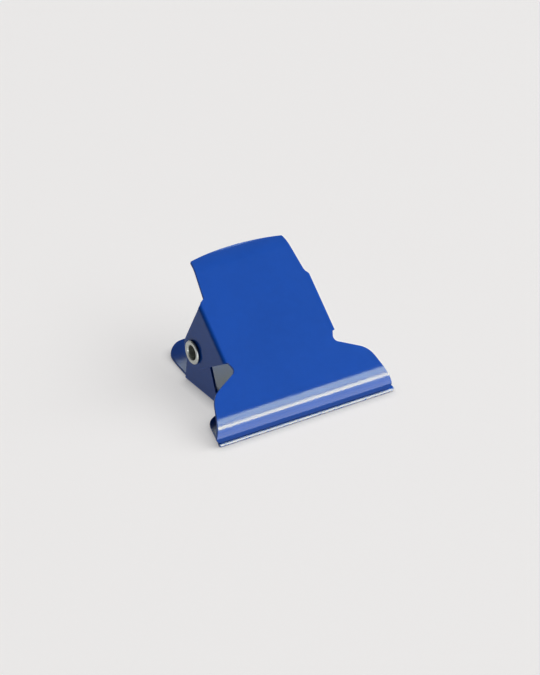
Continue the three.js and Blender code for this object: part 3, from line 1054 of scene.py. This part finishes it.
class CLIP_OT_spring(Operator):
    """Winds the torsion spring round the rivet"""

    bl_idname = "clip.spring"
    bl_label = "Torsion spring"

    def execute(self, context):
        scene = context.scene
        spring = scene.clip_spring
        placing = hinge_frame()
        path = spring_path(spring, scene.clip_sheet, scene.clip_upper, scene.clip_lower)
        curve = bpy.data.curves.new("spring_path", "CURVE")
        curve.dimensions = "3D"
        line = curve.splines.new("POLY")
        line.points.add(len(path) - 1)
        for point, place in zip(line.points, path):
            point.co = (*(placing @ place), 1.0)
        route = bpy.data.objects.new("spring_path", curve)
        scene.collection.objects.link(route)
        tree = wire_tree()
        sweep = route.modifiers.new("drawn_wire", "NODES")
        sweep.node_group = tree
        inputs = [item for item in tree.interface.items_tree if item.in_out == "INPUT"]
        sockets = {item.name: item.identifier for item in inputs}
        sweep[sockets["Wire radius"]] = spring.wire / 2 * MM
        sweep[sockets["Wire sides"]] = spring.sides
        sweep[sockets["Finish"]] = bpy.data.materials["spring_wire"]
        depsgraph = context.evaluated_depsgraph_get()
        mesh = bpy.data.meshes.new_from_object(route.evaluated_get(depsgraph))
        mesh.name = "spring_wound"
        bpy.data.objects.remove(route)
        finish_shell(mesh)
        mesh.materials.clear()
        thing = mesh_object("spring_wound", mesh, bpy.data.materials["spring_wire"])
        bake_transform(thing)
        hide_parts("torsion_spring")
        return {"FINISHED"}


def add_panel(name, points, colour, strength, shown_in):
    """A glowing panel that the camera doesn't see, shown either in the clip's gloss or in its shade."""
    mesh = new_mesh(name, points, [(0, 1, 2, 3)])
    panel = mesh_object(name, mesh, glow_material(name, colour, strength))
    panel.visible_camera = False
    panel.visible_diffuse = shown_in == "shade"
    panel.visible_glossy = shown_in == "gloss"
    return panel


def panel_points(azimuth, low, high, spread, distance):
    """Corners of an upright panel that fills a stretch of the surroundings, angles in degrees."""
    points = []
    for elevation, side in ((low, -1), (low, 1), (high, 1), (high, -1)):
        turn = math.radians(azimuth + side * spread / 2)
        rise = distance * math.tan(math.radians(elevation))
        points.append((distance * math.cos(turn), distance * math.sin(turn), rise))
    return points


def level_points(corner, far_corner, height):
    """Corners of a level rectangle."""
    (x0, y0), (x1, y1) = corner, far_corner
    return [(x0, y0, height), (x1, y0, height), (x1, y1, height), (x0, y1, height)]


def room_world(table_colour):
    """Dim surroundings that look as pale as the table where the camera sees past it."""
    world = bpy.data.worlds.new("room")
    world.use_nodes = True
    world.node_tree.nodes.clear()
    sh = Shader(world.node_tree)
    light = {"Color": colour4(ROOM_COLOUR), "Strength": ROOM_STRENGTH}
    backdrop = {"Color": colour4(table_colour), "Strength": BACKDROP_STRENGTH}
    room = sh.add("ShaderNodeBackground", {}, light).out()
    pale = sh.add("ShaderNodeBackground", {}, backdrop).out()
    seen = sh.add("ShaderNodeLightPath").out("Is Camera Ray")
    both = sh.add("ShaderNodeMixShader", {}, {0: seen, 1: room, 2: pale}).out()
    sh.add("ShaderNodeOutputWorld", {}, {"Surface": both})
    return world


def place_camera(scene):
    """The camera, placed and turned in the clip's own frame."""
    lens = bpy.data.cameras.new("camera")
    lens.sensor_fit = "VERTICAL"
    lens.sensor_height = SENSOR_HEIGHT
    lens.lens = LENS
    lens.clip_start = 0.01
    camera = bpy.data.objects.new("camera", lens)
    scene.collection.objects.link(camera)
    placing = hinge_frame()
    own_turn = Euler([math.radians(angle) for angle in CAMERA_TURN]).to_matrix()
    turn = placing.to_3x3().normalized() @ own_turn
    camera.matrix_world = Matrix.LocRotScale(placing @ Vector(CAMERA_PLACE), turn, None)
    scene.camera = camera


class CLIP_OT_stage(Operator):
    """Sets the table, the lights and the camera"""

    bl_idname = "clip.stage"
    bl_label = "Table, lights and camera"

    def execute(self, context):
        scene = context.scene
        table_colour = scene.clip_finish.table
        corner = (TABLE_REACH, TABLE_REACH)
        far_corner = (-TABLE_REACH, -TABLE_REACH)
        mesh = new_mesh("table", level_points(far_corner, corner, 0.0), [(0, 1, 2, 3)])
        mesh_object("table", mesh, table_material(table_colour))
        for name, place, colour, strength, shown_in in PANELS:
            add_panel(name, panel_points(*place), colour, strength, shown_in)
        for name, corner, far_corner, height, strength, shown_in in LEVEL_PANELS:
            points = level_points(corner, far_corner, height)
            panel = add_panel(name, points, (1.0, 1.0, 1.0), strength, shown_in)
            panel.visible_shadow = False
        scene.world = room_world(table_colour)
        place_camera(scene)
        scene.view_settings.view_transform = "Standard"
        scene.view_settings.gamma = VIEW_GAMMA
        return {"FINISHED"}


class CLIP_PT_panel(Panel):
    """Lists the steps and the sizes of the clip"""

    bl_idname = "CLIP_PT_panel"
    bl_label = "Paper spring clip"
    bl_space_type = "VIEW_3D"
    bl_region_type = "UI"
    bl_category = "Clip"

    def draw(self, context):
        layout = self.layout
        for name in STEPS:
            layout.operator(f"clip.{name}")
        for name in GROUPS:
            group = getattr(context.scene, name)
            box = layout.box()
            for key in group.bl_rna.properties.keys():
                if key not in {"rna_type", "name"}:
                    box.prop(group, key)


STEPS = ("finishes", "lower_plate", "upper_plate", "rivet", "spring", "stage")
GROUPS = {
    "clip_sheet": SheetSettings,
    "clip_upper": PlateSettings,
    "clip_lower": PlateSettings,
    "clip_rivet": RivetSettings,
    "clip_spring": SpringSettings,
    "clip_finish": FinishSettings,
}
CLASSES = (
    SheetSettings,
    PlateSettings,
    RivetSettings,
    SpringSettings,
    FinishSettings,
    CLIP_OT_finishes,
    CLIP_OT_upper_plate,
    CLIP_OT_lower_plate,
    CLIP_OT_rivet,
    CLIP_OT_spring,
    CLIP_OT_stage,
    CLIP_PT_panel,
)


def register():
    for cls in CLASSES:
        bpy.utils.register_class(cls)
    for name, group in GROUPS.items():
        setattr(bpy.types.Scene, name, PointerProperty(type=group))


def unregister():
    for name in GROUPS:
        delattr(bpy.types.Scene, name)
    for cls in reversed(CLASSES):
        bpy.utils.unregister_class(cls)


def main():
    register()
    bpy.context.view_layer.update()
    lower = bpy.context.scene.clip_lower
    for key, value in LOWER_PLATE.items():
        setattr(lower, key, value)
    for name in STEPS:
        getattr(bpy.ops.clip, name)()
    bpy.context.view_layer.update()


if __name__ == "__main__":
    main()
